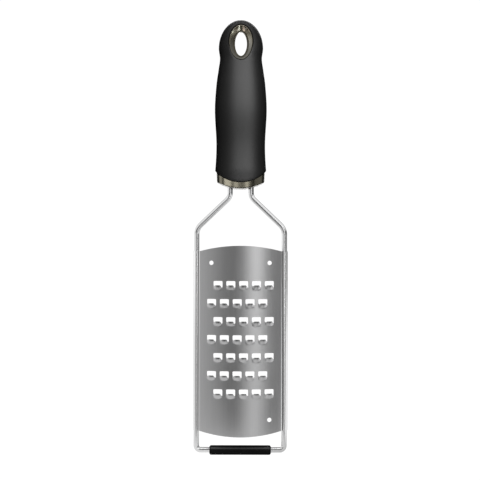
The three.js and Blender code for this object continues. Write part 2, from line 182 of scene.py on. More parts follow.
class Finish:
    def __init__(self, tree):
        self.tree = tree
        tree.nodes.clear()

    # a node of any type: its settings first, a ramp's stops among them, then numbers, colours or links on its
    # sockets. Gives the outlet that is asked for, or several
    def add(self, kind, settings, sockets, out=0):
        node = self.tree.nodes.new(kind)
        for key, value in settings.items():
            if key == "stops":
                setStops(node.color_ramp.elements, value)
            else:
                setattr(node, key, value)
        for key, value in sockets.items():
            if isinstance(value, Wire):
                self.tree.links.new(value.socket, node.inputs[key])
            else:
                node.inputs[key].default_value = value
        if isinstance(out, tuple):
            return [Wire(self, node.outputs[k]) for k in out]
        return Wire(self, node.outputs[out]) if len(node.outputs) else None

    def place(self):
        return self.add("ShaderNodeTexCoord", {}, {}, "Object")

    # x, y and z of the object's own place
    def axes(self):
        return self.add("ShaderNodeSeparateXYZ", {}, {0: self.place()}, (0, 1, 2))

    # noise over the object's own place, in waves per metre along each axis, from 0 to 1
    def noise(self, waves, detail=2.0, rough=0.5):
        spread = self.add("ShaderNodeVectorMath", {"operation": "MULTIPLY"}, {0: self.place(), 1: waves})
        return self.add("ShaderNodeTexNoise", {},
                        {"Vector": spread, "Scale": 1.0, "Detail": detail, "Roughness": rough})

    def clamp(self, value, low=0.0, high=1.0):
        return self.add("ShaderNodeClamp", {}, {"Value": value, "Min": low, "Max": high})

    def blend(self, share, first, second):
        return self.add("ShaderNodeMix", {"data_type": "RGBA"}, {0: share, 6: first, 7: second}, 2)

    def bump(self, height, strength, distance):
        return self.add("ShaderNodeBump", {}, {"Strength": strength, "Distance": distance, "Height": height})

    # 1 for what the eye, a mirror or glass sees, 0 for all other light
    def seen(self):
        rays = self.add("ShaderNodeLightPath", {}, {}, ("Is Camera Ray", "Is Glossy Ray", "Is Transmission Ray"))
        return self.clamp(rays[0] + rays[1] + rays[2])

    def output(self, shader, kind="Material"):
        self.add("ShaderNodeOutput" + kind, {}, {"Surface": shader})

    def surface(self, sockets):
        self.output(self.add("ShaderNodeBsdfPrincipled", {}, sockets))


def newFinish(name):
    material = bpy.data.materials.new(name)
    material.use_nodes = True
    return material, Finish(material.node_tree)


# Finishes: waves are per metre, and places on the sheet are metres from its middle line

satinLook = dict(dull=(0.50, 0.50, 0.505, 1), pale=(0.62, 0.62, 0.622, 1), burnishAndHighlight=(0.92, 0.92, 0.922, 1),
                 shade=(0.07, 0.07, 0.07, 1), lineWaves=(2400, 2400, 22), cloudWaves=(60, 60, 38),
                 hemStart=0.0315, hemFade=0.0005, bend=0.03055, bendHalf=0.0002, bendFull=1.6,
                 crease=0.0313, creaseHalf=0.0004, creaseShade=0.8, toothShadeLevel=0.7)


# satin sheet: fine lines brushed along its length over slow cloudy variation; the rolled hems are burnished
# bright, a painted highlight runs along
# # the bend beside each, painted shade draws a dark line in the crease between them, and painted shade darkens
# the strip under each tooth's cutting edge
def satinSteel():
    look = satinLook
    material, f = newFinish("satin_steel")
    side = abs(f.axes()[0])
    # painted highlight: the bend along the arch's edge is given the hems' bright colour
    bent = f.clamp(look["bendFull"] - abs(side - look["bend"]) / look["bendHalf"])
    hem = f.clamp(f.clamp((side - look["hemStart"]) / look["hemFade"]) + bent)
    # painted shade: a dark line along the crease between the bend and the hem
    crease = f.clamp(1 - abs(side - look["crease"]) / look["creaseHalf"])
    # painted shade on the strip under each tooth's cutting edge, carried on the blade's points
    ground = f.add("ShaderNodeAttribute", {"attribute_name": "ground"}, {}, "Fac")
    dark = f.clamp(crease * look["creaseShade"] + ground * look["toothShadeLevel"])
    lines = f.noise(look["lineWaves"], 3.0, 0.6)
    cloud = f.noise(look["cloudWaves"])
    sheet = f.blend(f.clamp(lines * 0.7 + cloud * 0.3), look["dull"], look["pale"])
    f.surface({
        "Base Color": f.blend(dark, f.blend(hem, sheet, look["burnishAndHighlight"]), look["shade"]),
        "Metallic": 1.0,
        "Roughness": f.clamp(0.25 + lines * 0.09 + cloud * 0.05 - hem * 0.15, 0.1, 0.5),
        "Normal": f.bump(lines, 0.10, 0.00004),
    })
    return material


rodLook = dict(dull=(0.75, 0.75, 0.755, 1), pale=(0.85, 0.85, 0.852, 1), markWaves=(1500, 1500, 90),
               cloudWaves=(90, 90, 60))


# bright rod: faint drawing marks on a polished surface
def brightSteel():
    look = rodLook
    material, f = newFinish("bright_steel")
    marks = f.noise(look["markWaves"], 3.0, 0.6)
    cloud = f.noise(look["cloudWaves"])
    f.surface({
        "Base Color": f.blend(marks, look["dull"], look["pale"]),
        "Metallic": 1.0,
        "Roughness": f.clamp(0.11 + marks * 0.08 + cloud * 0.05, 0.08, 0.3),
        "Normal": f.bump(marks, 0.06, 0.00004),
    })
    return material


gripLook = dict(deep=(0.005, 0.005, 0.005, 1), pale=(0.009, 0.009, 0.009, 1), gapShadow=(0.004, 0.0035, 0.003, 1),
                pitWaves=(2600, 2600, 2600), cloudWaves=(45, 45, 30), gapEdge=1.11, gapFade=0.05, gapShade=0.85,
                gapLow=0.007, gapRise=0.006)


# soft-touch overmould: dense fine pits, slightly cloudy sheen, and painted shade in the gap round the upper rim
# of the eye: the
# # root of (x over its half width) squared plus (height over its half height) squared is a little over one there
def softGrip():
    look = gripLook
    material, f = newFinish("soft_grip")
    x, _, z = f.axes()
    up = z - (footLow + (handle["base"] + eyeMiddle) * mm)
    halfX, halfZ = ((eye[k] + eye["flare"] + eye["gap"]) * mm for k in ("throatX", "throatZ"))
    aside, above = x / halfX, up / halfZ
    oval = (aside * aside + above * above) ** 0.5
    upper = f.clamp((up + look["gapLow"]) / look["gapRise"])
    gap = f.clamp((look["gapEdge"] - oval) / look["gapFade"]) * upper
    pits = f.noise(look["pitWaves"], 2.0, 0.6)
    cloud = f.noise(look["cloudWaves"], 3.0)
    shell = f.add("ShaderNodeBsdfPrincipled", {}, {
        "Base Color": f.blend(cloud * 0.6 + pits * 0.4, look["deep"], look["pale"]),
        "Roughness": f.clamp(0.42 + cloud * 0.06 + pits * 0.06, 0.3, 0.8),
        "Specular IOR Level": 0.4,
        "Normal": f.bump(pits, 0.22, 0.00008),
    })
    # painted shade in the gap round the eye's upper rim: a dark matt surface mixed in over the grip
    gapShadow = f.add("ShaderNodeBsdfDiffuse", {}, {"Color": look["gapShadow"]})
    f.output(f.add("ShaderNodeMixShader", {}, {0: gap * look["gapShade"], 1: shell, 2: gapShadow}))
    return material


trimLook = dict(deep=(0.215, 0.2, 0.153, 1), pale=(0.285, 0.265, 0.207, 1), flakeWaves=(3800, 3800, 3800),
                cloudWaves=(140, 140, 140))


# metallised moulding: warm dark coat with a fine sparkle
def darkTrim():
    look = trimLook
    material, f = newFinish("dark_trim")
    flake = f.noise(look["flakeWaves"], 2.0, 0.7)
    cloud = f.noise(look["cloudWaves"])
    f.surface({
        "Base Color": f.blend(flake * 0.6 + cloud * 0.4, look["deep"], look["pale"]),
        "Metallic": 0.95,
        "Roughness": f.clamp(0.2 + flake * 0.03 + cloud * 0.04, 0.15, 0.8),
        "Normal": f.bump(flake, 0.004, 0.00004),
    })
    return material


footLook = dict(deep=(0.002, 0.002, 0.0021, 1), pale=(0.006, 0.006, 0.0062, 1), grainWaves=(2200, 2200, 2200),
                cloudWaves=(80, 160, 160))


# moulded rubber: matt grain with paler dust in the rough
def footRubber():
    look = footLook
    material, f = newFinish("foot_rubber")
    grain = f.noise(look["grainWaves"], 3.0, 0.65)
    cloud = f.noise(look["cloudWaves"])
    f.surface({
        "Base Color": f.blend(cloud * 0.5 + grain * 0.5, look["deep"], look["pale"]),
        "Roughness": f.clamp(0.36 + grain * 0.14, 0.3, 0.9),
        "Specular IOR Level": 0.19,
        "Normal": f.bump(grain, 0.1, 0.0001),
    })
    return material


coreLook = dict(deep=(0.014, 0.014, 0.0145, 1), pale=(0.024, 0.024, 0.025, 1), grainWaves=(900, 900, 900))


# plain moulded plastic of the hidden core
def corePlastic():
    look = coreLook
    material, f = newFinish("core_plastic")
    grain = f.noise(look["grainWaves"])
    f.surface({
        "Base Color": f.blend(grain, look["deep"], look["pale"]),
        "Roughness": f.clamp(0.42 + grain * 0.12, 0.3, 0.8),
        "Normal": f.bump(grain, 0.15, 0.00008),
    })
    return material


satin, bright, rubber = satinSteel(), brightSteel(), footRubber()
print("finishes made")


# Wire frame: one rod, bent at the neck, the shoulders and the bottom corners

wire = dict(radius=2.025, halfWidth=32.55, barZ=3.25, shoulderLow=167.25, shoulderTop=190.85,
            neckX=7.775, tangTop=256.85, bottomBend=3.2, shoulderBend=10.0, neckBend=7.5, around=28, bendSteps=14)


# straight runs between the corners; each corner is an arc of its bend radius that touches both runs
def roundedPath(corners, bends, steps):
    path = [corners[:1]]
    for before, corner, after, bend in zip(corners, corners[1:], corners[2:], bends):
        back, ahead = unit(before - corner), unit(after - corner)
        half = (math.pi - math.acos(float(back @ ahead))) / 2
        outward, side = -unit(back + ahead), unit(ahead - back)
        turn = np.linspace(-half, half, steps + 1)[:, None]
        middle = corner - outward * bend / math.cos(half)
        path.append(middle + bend * (np.cos(turn) * outward + np.sin(turn) * side))
    path.append(corners[-1:])
    return np.vstack(path)


# a circle carried along the path: point + radius times (cos across + sin depth)
def wireSurface(w):
    right = [(w["neckX"], w["tangTop"]), (w["neckX"], w["shoulderTop"]),
             (w["halfWidth"], w["shoulderLow"]), (w["halfWidth"], w["barZ"])]
    corners = np.array(right + [(-x, z) for x, z in reversed(right)])
    bends = [w["neckBend"], w["shoulderBend"], w["bottomBend"]]
    path = roundedPath(corners, bends + bends[::-1], w["bendSteps"])
    along = unit(np.gradient(path, axis=0))
    angle = np.linspace(0, 2 * math.pi, w["around"], endpoint=False)
    path, along = path[[0, *range(len(path)), -1]], along[[0, *range(len(along)), -1]]
    radius = np.full(len(path), w["radius"])
    radius[[0, -1]] = 0  # both ends close on a point, inside the handle
    across = radius[:, None] * np.cos(angle)
    x = path[:, :1] + across * along[:, 1:]
    z = path[:, 1:] - across * along[:, :1]
    y = radius[:, None] * np.sin(angle)
    return np.stack([x, y, z], -1)


points, quads = joinPatches([(wireSurface(wire), True)])
putPiece("frame_rod", points, quads, bright, "frame_wire")


# Blade: a sheet pressed into teeth, arched, and hemmed round the wire at both sides

blade = dict(low=17.9, high=150.65, bow=4.1, sheet=0.4, archRadius=88.0, edgeRadius=0.5,
             edgeHeading=math.radians(70), flank=0.8, creaseRadius=0.35, hemGap=0.13, hemStart=math.radians(62),
             hemEnd=math.radians(250), hole=1.6, holeX=21.45, holeInset=8.5, holeMargin=0.3)
# the shade keys place the painted shade on the strip under each tooth's cutting edge
teeth = dict(rows=7, columns=5, rowPitch=13.29, columnPitch=9.44, shift=2.36, firstDrop=21.85, headroom=3.05,
             halfWindow=3.35, windowHeight=3.15, corner=7.0, legStart=0.6, legWidth=0.16, legLevel=-0.2,
             leftLeg=0.8, rightLeg=1.8, halfWidth=3.4, flat=3.0, fall=3.8, drop=1.2, height=1.6, swell=1.3,
             shadeX=0.3, shadeHalf=2.1, shadeDepth=1.5, shadeTop=0.05, shadeAcross=1.8, shadeDown=1.6)
# steps of the blade's grid
fine = dict(halfPitch=6, cell=16, rings=12, crowd=1.25, margin=4, edge=5, flank=2, crease=7, hem=18, band=6)

hemRadius = wire["radius"] + blade["hemGap"] + blade["sheet"] / 2
creaseReach = hemRadius + blade["creaseRadius"]
turnX, turnY = math.sin(blade["edgeHeading"]), math.cos(blade["edgeHeading"])
creaseX = wire["halfWidth"] - creaseReach * math.cos(blade["hemStart"])
creaseY = -creaseReach * math.sin(blade["hemStart"])
flankX = creaseX - blade["creaseRadius"] * turnX - blade["flank"] * turnY
flankY = creaseY + blade["creaseRadius"] * turnY - blade["flank"] * turnX
edgeX, edgeY = flankX - blade["edgeRadius"] * turnX, flankY + blade["edgeRadius"] * turnY
archHalf = math.asin(edgeX / (blade["archRadius"] - blade["edgeRadius"]))
archMiddleY = edgeY + (blade["archRadius"] - blade["edgeRadius"]) * math.cos(archHalf)
archEnd = blade["archRadius"] * math.sin(archHalf)
edgeEnd = archEnd + blade["edgeRadius"] * (blade["edgeHeading"] - archHalf)
flankEnd = edgeEnd + blade["flank"]
creaseEnd = flankEnd + blade["creaseRadius"] * (blade["edgeHeading"] + math.pi / 2 - blade["hemStart"])
hemEdge = creaseEnd + hemRadius * (blade["hemEnd"] - blade["hemStart"])
bowRadius = (archEnd ** 2 + blade["bow"] ** 2) / (2 * blade["bow"])


# across the sheet: an arch, a bend back at its edge, a straight flank, a crease bent the other way, then a hem
# round the wire. q is x on the arch and goes on as length along the rest; gives x, y and heading
def sheetProfile(q):
    s = np.abs(q)
    part = [s <= archEnd, s <= edgeEnd, s <= flankEnd, s <= creaseEnd]
    inArch = np.minimum(s, archEnd)
    edgeTurn = archHalf + (s - archEnd) / blade["edgeRadius"]
    along = s - edgeEnd
    creaseTurn = blade["edgeHeading"] - (s - flankEnd) / blade["creaseRadius"]
    hemAngle = blade["hemStart"] + (s - creaseEnd) / hemRadius
    heading = np.select(part, [np.arcsin(inArch / blade["archRadius"]), edgeTurn, 0 * s + blade["edgeHeading"],
                               creaseTurn], hemAngle - math.pi / 2)
    x = np.select(part, [inArch, edgeX + blade["edgeRadius"] * np.sin(edgeTurn), flankX + along * turnY,
                         creaseX - blade["creaseRadius"] * np.sin(creaseTurn)],
                  wire["halfWidth"] - hemRadius * np.cos(hemAngle))
    y = np.select(part, [archMiddleY - np.sqrt(blade["archRadius"] ** 2 - inArch ** 2),
                         edgeY - blade["edgeRadius"] * np.cos(edgeTurn), flankY + along * turnX,
                         creaseY + blade["creaseRadius"] * np.cos(creaseTurn)], -hemRadius * np.sin(hemAngle))
    return np.sign(q) * x, y, np.sign(q) * heading


# distances across and up from the middle of the nearest tooth's cutting edge
def toothPlace(q, z):
    firstTop = blade["high"] - teeth["firstDrop"]
    row = np.clip(np.floor((firstTop + teeth["headroom"] - z) / teeth["rowPitch"]), 0, teeth["rows"] - 1)
    shift = np.where(row % 2 == 0, teeth["shift"], -teeth["shift"])
    last = (teeth["columns"] - 1) / 2
    column = np.clip(np.round((q - shift) / teeth["columnPitch"]), -last, last)
    u = q - shift - column * teeth["columnPitch"]
    w = z - (firstTop - row * teeth["rowPitch"] - teeth["windowHeight"])
    return u, w


# rise of the sheet at a tooth: (1 - r) to a power, where r adds powers of both distances
def toothRise(u, w):
    length = np.where(w > 0, teeth["drop"], teeth["fall"])
    r = np.abs(u / teeth["halfWidth"]) ** teeth["flat"] + (w / length) ** 2
    return teeth["height"] * np.maximum(0, 1 - r) ** teeth["swell"]


# painted shade on the strip under the cutting edge: fades both ways across it, and downwards
def toothShadeMask(u, w):
    across = np.clip(1 - np.abs(u - teeth["shadeX"]) / teeth["shadeHalf"], 0, 1)
    down = np.where(w < teeth["shadeTop"], np.clip(1 + w / teeth["shadeDepth"], 0, 1), 0)
    return np.minimum(1, teeth["shadeAcross"] * across) * np.minimum(1, teeth["shadeDown"] * down)


# plain stretch of sheet on given lines across and heights between a low and a high line
def plainPatch(lines, low, high, steps):
    share = np.linspace(0, 1, steps + 1)[:, None]
    low, high = np.broadcast_to(low, lines.shape), np.broadcast_to(high, lines.shape)
    z = low + (high - low) * share
    return np.stack([np.broadcast_to(lines, z.shape), z], -1)


# once round the border of a rectangle of grid lines, from its low first corner
def borderLoop(lines, heights):
    q = np.concatenate([lines[:-1], np.full(len(heights) - 1, lines[-1]),
                        lines[:0:-1], np.full(len(heights) - 1, lines[0])])
    z = np.concatenate([np.full(len(lines) - 1, heights[0]), heights[:-1],
                        np.full(len(lines) - 1, heights[-1]), heights[:0:-1]])
    return q, z


# ring of sheet between a rectangle of grid points and the outline of the opening inside it
def openingPatch(lines, heights, outline, rings):
    q, z = borderLoop(lines, heights)
    a = 2 * (q - lines[0]) / (lines[-1] - lines[0]) - 1
    b = 2 * (z - heights[0]) / (heights[-1] - heights[0]) - 1
    border = np.stack([q, z], -1)
    inner = outline(a, b)
    share = (np.linspace(1, 0, rings + 1) ** fine["crowd"])[:, None, None]
    return inner + (border - inner) * share


# tooth window: a superellipse on the rectangle's own directions, with both lower corners drawn down
def windowOutline(middleQ, edgeZ):
    def outline(a, b):
        grow = (np.abs(a) ** teeth["corner"] + np.abs(b) ** teeth["corner"]) ** (-1 / teeth["corner"])
        u, v = a * grow, b * grow
        half = teeth["windowHeight"] / 2
        leg = np.clip((np.abs(u) - teeth["legStart"]) / teeth["legWidth"], 0, 1)
        depth = np.where(u > 0, teeth["rightLeg"], teeth["leftLeg"])
        drop = depth * leg * leg * (3 - 2 * leg) * (v < teeth["legLevel"])
        return np.stack([middleQ + teeth["halfWindow"] * u, edgeZ + half + half * v - drop], -1)
    return outline


# round hole: the rectangle's own directions drawn in to one radius
def roundOutline(middleQ, middleZ):
    def outline(a, b):
        size = np.sqrt(a * a + b * b)
        return np.stack([middleQ + blade["hole"] * a / size, middleZ + blade["hole"] * b / size], -1)
    return outline


# the sheet as q and z: bands with cells round their openings, and a bowed stretch at each end
def bladePatches():
    half = teeth["columnPitch"] / 2
    outerCell = (teeth["columns"] / 2) * teeth["columnPitch"] + teeth["shift"]
    count = int(round(2 * outerCell / half)) * fine["halfPitch"]
    main = np.linspace(-outerCell, outerCell, count + 1)
    margin = np.linspace(outerCell, archEnd, fine["margin"] + 1)
    ends = [(archEnd, edgeEnd, "edge"), (edgeEnd, flankEnd, "flank"), (flankEnd, creaseEnd, "crease"),
            (creaseEnd, hemEdge, "hem")]
    outer = np.concatenate([margin] + [np.linspace(a, b, fine[k] + 1)[1:] for a, b, k in ends])
    whole = np.concatenate([-outer[:0:-1], main, outer[1:]])
    inArch = np.abs(whole) < archEnd
    bowRise = np.sqrt(bowRadius ** 2 - np.where(inArch, whole, 0) ** 2) - bowRadius + blade["bow"]
    bowTop = np.where(inArch, bowRise, 0)
    firstTop = blade["high"] - teeth["firstDrop"] + teeth["headroom"]
    lastLow = firstTop - teeth["rows"] * teeth["rowPitch"]
    cellLines = 2 * fine["halfPitch"]
    patches = []

    # one band of sheet between two heights, with openings in some of its cells
    def band(low, high, steps, cells):
        heights = np.linspace(low, high, steps + 1)
        at = len(outer) - 1
        done = 0
        for start, outline in cells:
            patches.append((plainPatch(whole[done:at + start + 1], low, high, steps), False))
            cut = main[start:start + cellLines + 1]
            patches.append((openingPatch(cut, heights, outline, fine["rings"]), True))
            done = at + start + cellLines
        patches.append((plainPatch(whole[done:], low, high, steps), False))

    for row in range(teeth["rows"]):
        high = firstTop - row * teeth["rowPitch"]
        edge = high - teeth["headroom"] - teeth["windowHeight"]
        first = fine["halfPitch"] if row % 2 == 0 else 0
        starts = first + cellLines * np.arange(teeth["columns"])
        cells = [(k, windowOutline(main[k + fine["halfPitch"]], edge)) for k in starts]
        band(high - teeth["rowPitch"], high, fine["cell"], cells)

    upper, lower = blade["high"] - blade["holeInset"], blade["low"] + blade["holeInset"]
    leftCell, rightCell = 0, count - cellLines
    halfCell = half + blade["holeMargin"]
    band(firstTop, upper - halfCell, fine["band"], [])
    band(upper - halfCell, upper + halfCell, fine["cell"],
         [(leftCell, roundOutline(-blade["holeX"], upper)), (rightCell, roundOutline(blade["holeX"], upper))])
    patches.append((plainPatch(whole, upper + halfCell, blade["high"] + bowTop, fine["band"]), False))
    band(lower + halfCell, lastLow, fine["band"], [])
    band(lower - halfCell, lower + halfCell, fine["cell"], [(rightCell, roundOutline(blade["holeX"], lower))])
    patches.append((plainPatch(whole, blade["low"] - bowTop, lower - halfCell, fine["band"]), False))
    return patches


places, quads = weld(*joinPatches(bladePatches()))
q, z = places[:, 0], places[:, 1]
x, y, heading = sheetProfile(q)
u, w = toothPlace(q, z)
inArch = np.abs(q) < archEnd
lift = blade["sheet"] / 2 + np.where(inArch, toothRise(u, w), 0)
# share of painted shade under each tooth's cutting edge
ground = np.where(inArch, toothShadeMask(u, w), 0)
front = np.stack([x + lift * np.sin(heading), y - lift * np.cos(heading), z], -1)
back = front - blade["sheet"] * pointNormals(front, quads)
points, quads = closeShell(front, back, quads)
putPiece("grating_blade", points, quads, satin, "blade",
         marks={"ground": np.tile(ground, 2)})


# Handle: superellipse sections on a smooth outline, closed above the ball as half an ellipsoid

handle = dict(base=196.85, square=2.3, ball=104.0, tipRise=21.3, wall=2.2,
              heights=(13.2, 32.0, 58.8, 76.6, 88.4, 96.7, 104.0),
              widths=(37.9, 36.1, 38.5, 36.4, 33.2, 31.05, 32.9),
              depths=(29.6, 27.8, 30.2, 28.2, 25.2, 23.2, 23.8))


# Hermite curve through the stations, level at each turning point and at the last one
def smoothCurve(xs, ys):
    xs, ys = np.array(xs), np.array(ys)
    step = np.diff(xs)
    slope = np.diff(ys) / step
    both = slope[:-1] * slope[1:]
    inner = np.where(both > 0, 2 * both / np.where(both > 0, slope[:-1] + slope[1:], 1), 0)
    first = ((2 * step[0] + step[1]) * slope[0] - step[0] * slope[1]) / (step[0] + step[1])
    tangent = np.concatenate([[first], inner, [0]])

    def curve(x):
        x = np.clip(x, xs[0], xs[-1])
        i = np.clip(np.searchsorted(xs, x, side="right") - 1, 0, len(step) - 1)
        t = (x - xs[i]) / step[i]
        bulge = (1 - t) * tangent[i] - t * tangent[i + 1] + (2 * t - 1) * slope[i]
        return ys[i] + t * step[i] * slope[i] + t * (1 - t) * step[i] * bulge
    return curve


widthAt = smoothCurve(handle["heights"], handle["widths"])
depthAt = smoothCurve(handle["heights"], handle["depths"])


# a value's size to the power of 2 over the squareness, with its sign
def bend(value):
    return np.sign(value) * np.abs(value) ** (2 / handle["square"])


# v runs up the handle and over its cap: height up to the ball, then an angle on the ellipsoid
def heightOf(v):
    return np.where(v < handle["ball"], v,
                    handle["ball"] + handle["tipRise"] * np.sin((v - handle["ball"]) / handle["tipRise"]))


# half width and depth at v, less an inset; both close over the cap as a cosine
def halfSizes(v, inset=0.0):
    closing = np.where(v < handle["ball"], 1, np.cos((v - handle["ball"]) / handle["tipRise"]))
    h = heightOf(v)
    return (widthAt(h) / 2 - inset) * closing, (depthAt(h) / 2 - inset) * closing


# superellipse: half width times the bent cosine, half depth times the bent sine, at the height of v
def handleSurface(angle, v, inset=0.0):
    halfWidth, halfDepth = halfSizes(v, inset)
    x, y = halfWidth * bend(np.cos(angle)), halfDepth * bend(np.sin(angle))
    return np.stack([x, y, heightOf(v) + handle["base"]], -1)


# arc that dips to a height at the middle of the front, over x
def dippedArc(x, dip, radius):
    return dip + radius - np.sqrt(radius ** 2 - x ** 2)


# quarter round at an edge: how far the surface draws in at a distance from it
def edgeRound(distance, radius):
    left = radius - np.clip(distance, 0, radius)
    return radius - np.sqrt(radius ** 2 - left ** 2)


# distances from an edge over its quarter round, close together at the edge
def roundSteps(radius, count):
    return radius * (1 - np.cos(np.linspace(0, math.pi / 2, count)))


grip = dict(dip=4.6, arc=25.18, lipRound=0.4, lipSteps=(0, 0.04, 0.14, 0.27, 0.4), lipTop=22.0, lipRows=9,
            bodyRows=30, around=96, blockSide=14, blockLow=88.4, blockRows=8, blockTop=math.radians(60),
            capStep=math.radians(5), rings=9, edgeDepth=2.2, rimSteps=((0, 0.45), (0.04, 0.22), (0.14, 0.07)),
            rimEnd=0.32)
eye = dict(drop=17.7, throatX=4.4, throatZ=8.9, flare=4.05, gap=0.3, seam=0.15, ledge=0.85, ledgeDepth=1.6,
           stepRound=0.12, rimRound=0.35, rib=0.27, ribDepths=(0.62, 0.58, 0.48, 0.44), around=96, funnelRows=9,
           rimRows=5)
eyeMiddle = handle["ball"] + handle["tipRise"] - eye["drop"]
soft = softGrip()


# angle and v on the handle of an oval round the eye, on the front (-1) or the back (1)
def ovalPlace(turn, margin, side):
    x = (eye["throatX"] + eye["flare"] + margin) * np.cos(turn)
    h = eyeMiddle + (eye["throatZ"] + eye["flare"] + margin) * np.sin(turn)
    over = np.clip((h - handle["ball"]) / handle["tipRise"], 0, 1)
    v = np.where(h < handle["ball"], h, handle["ball"] + handle["tipRise"] * np.arcsin(over))
    across = np.clip(x / halfSizes(v)[0], -1, 1)
    angle = np.arccos(np.sign(across) * np.abs(across) ** (handle["square"] / 2))
    return (angle if side > 0 else 2 * math.pi - angle), v


# values of a grip point: angle, v, draw-in of the lip, sink of the eye's edge, and share of the plain normal
def gripPatches():
    n = grip["around"]
    angles = 2 * math.pi * np.arange(n) / n
    step = grip["capStep"]
    lowSteps = np.arange(int(round(grip["blockTop"] / step)) + 1)
    capLow = handle["ball"] + handle["tipRise"] * step * lowSteps
    capHigh = handle["ball"] + handle["tipRise"] * np.arange(grip["blockTop"], math.pi / 2 + 1e-9, step)
    body = np.linspace(grip["lipTop"], grip["blockLow"], grip["bodyRows"])
    blockRows = np.concatenate([np.linspace(grip["blockLow"], handle["ball"], grip["blockRows"]), capLow[1:]])

    def plain(angle, v):
        angle, v = np.broadcast_arrays(angle, v)
        zero = np.zeros_like(v)
        return np.stack([angle, v, zero, zero, zero + 1], -1)

    edge = dippedArc(handle["widths"][0] / 2 * bend(np.cos(angles)), grip["dip"], grip["arc"])
    near = np.array(grip["lipSteps"])
    rest = np.linspace(0, 1, grip["lipRows"])[1:]
    above = (grip["lipTop"] - edge - near[-1]) * rest[:, None]
    lipV = np.vstack([edge + near[:, None], edge + near[-1] + above])
    lip = plain(angles[None, :], lipV)
    lip[:len(near), :, 2] = edgeRound(near, grip["lipRound"])[:, None]
    patches = [(lip, True), (plain(angles[None, :], body[:, None]), True),
               (plain(angles[None, :], capHigh[:, None]), True)]

    side = grip["blockSide"]
    backMiddle, frontMiddle = n // 4, 3 * n // 4
    for first, last in ((backMiddle + side, frontMiddle - side), (frontMiddle + side, backMiddle - side + n)):
        patches.append((plain(angles[np.arange(first, last + 1) % n][None, :], blockRows[:, None]), False))

    for middle, way in ((backMiddle, 1), (frontMiddle, -1)):
        columns = angles[middle - side:middle + side + 1]
        a, v = borderLoop(columns, blockRows)
        spot = handleSurface(a, v)
        turn = np.arctan2((spot[:, 2] - handle["base"] - eyeMiddle) / (eye["throatZ"] + eye["flare"]),
                          spot[:, 0] / (eye["throatX"] + eye["flare"]))
        wall = []
        for margin, sink in ((0, grip["edgeDepth"]), *grip["rimSteps"]):
            wallA, wallV = ovalPlace(turn, eye["gap"] + margin, way)
            zero = np.zeros_like(wallV)
            wall.append(np.stack([wallA, wallV, zero, zero + sink, zero], -1))
        startA, startV = ovalPlace(turn, eye["gap"] + grip["rimEnd"], way)
        share = np.linspace(0, 1, grip["rings"] + 1)[:, None]
        ring = plain(startA + (a - startA) * share, startV + (v - startV) * share).copy()
        ring[..., 4] = share
        patches.append((np.concatenate([np.stack(wall), ring])[::-1], True))
    return patches


values, quads = weld(*joinPatches(gripPatches()), grain=1e-5)
angle, v, drawIn, sink, share = values.T
sideY = np.where(np.sin(angle) > 0, 1.0, -1.0)
front = handleSurface(angle, v, drawIn)
front[:, 1] -= sideY * sink
normal = pointNormals(handleSurface(angle, v), quads)
normal[v > handle["ball"] + handle["tipRise"] * (math.pi / 2 - 1e-6)] = (0, 0, 1)
straight = np.stack([0 * v, sideY, 0 * v], -1)
inward = unit(normal * share[:, None] + straight * (1 - share[:, None]))
points, quads = closeShell(front, front - handle["wall"] * inward, quads)
gripShell = putPiece("soft_grip_shell", points, quads, soft, "grip_sleeve")


# Collar: a tapered band with a rounded lower edge, and a floor with two wire holes

collar = dict(lowHalf=(17.45, 13.3), topHalf=(18.05, 13.9), rise=13.2, arc=32.4, dip=4.3, topArc=25.48,
              round=0.3, wall=0.9, hole=2.325, rings=6, roundRows=7, bandRows=7, chordSteps=17)
trim = darkTrim()


# superellipse whose half sizes grow evenly with height, less an inset
def collarSection(angle, height, inset):
    grow = height / collar["rise"]
    low, top = collar["lowHalf"], collar["topHalf"]
    x = (low[0] + (top[0] - low[0]) * grow - inset) * bend(np.cos(angle))
    y = (low[1] + (top[1] - low[1]) * grow - inset) * bend(np.sin(angle))
    return x, y


# the band runs from the lower arc to the dipped upper one; the floor is two half loops drawn in to the wire holes
def collarPatches():
    n = grip["around"]
    angles = 2 * math.pi * np.arange(n) / n
    baseX = (collar["lowHalf"][0] - collar["round"]) * bend(np.cos(angles))
    low = dippedArc(baseX, 0, collar["arc"])
    high = dippedArc(collar["topHalf"][0] * bend(np.cos(angles)), collar["dip"], collar["topArc"])
    near = roundSteps(collar["round"], collar["roundRows"])
    rest = np.linspace(0, 1, collar["bandRows"])[1:]
    height = np.vstack([low + near[:, None], low + near[-1] + (high - low - near[-1]) * rest[:, None]])
    inset = np.concatenate([edgeRound(near, collar["round"]), np.zeros(len(rest))])[:, None]
    x, y = collarSection(angles[None, :], height, inset)
    band = np.stack([x, y, height], -1)
    patches = [(band, True)]

    quarter = n // 4
    for way in (1, -1):
        halfLoop = np.arange(-quarter, quarter + 1) % n if way > 0 else np.arange(quarter, 3 * quarter + 1)
        rim = np.stack([x[0, halfLoop], y[0, halfLoop]], -1)
        chordY = np.linspace(rim[-1, 1], rim[0, 1], collar["chordSteps"])[1:-1]
        loop = np.vstack([rim, np.stack([0 * chordY, chordY], -1)])
        middle = np.array([way * wire["neckX"], 0.0])
        toHole = middle + collar["hole"] * unit(loop - middle)
        share = np.linspace(0, 1, collar["rings"] + 1)[:, None, None]
        flat = toHole + (loop - toHole) * share
        patches.append((np.concatenate([flat, dippedArc(flat[..., :1], 0, collar["arc"])], -1), True))
    return patches


places, quads = weld(*joinPatches(collarPatches()))
normal = pointNormals(places, quads)
front = places + np.array([0, 0, handle["base"]])
points, quads = closeShell(front, front - collar["wall"] * normal, quads)
collarBand = putPiece("collar_band", points, quads, trim, "collar_cap", sharp=50)


# Hang eye: each half has a short throat, a flat step, and a straight funnel out to a rim flush with the grip.
# Its points are oval rings: throat plus flare, at a depth; the outer wall's low rib closes the fitting gap

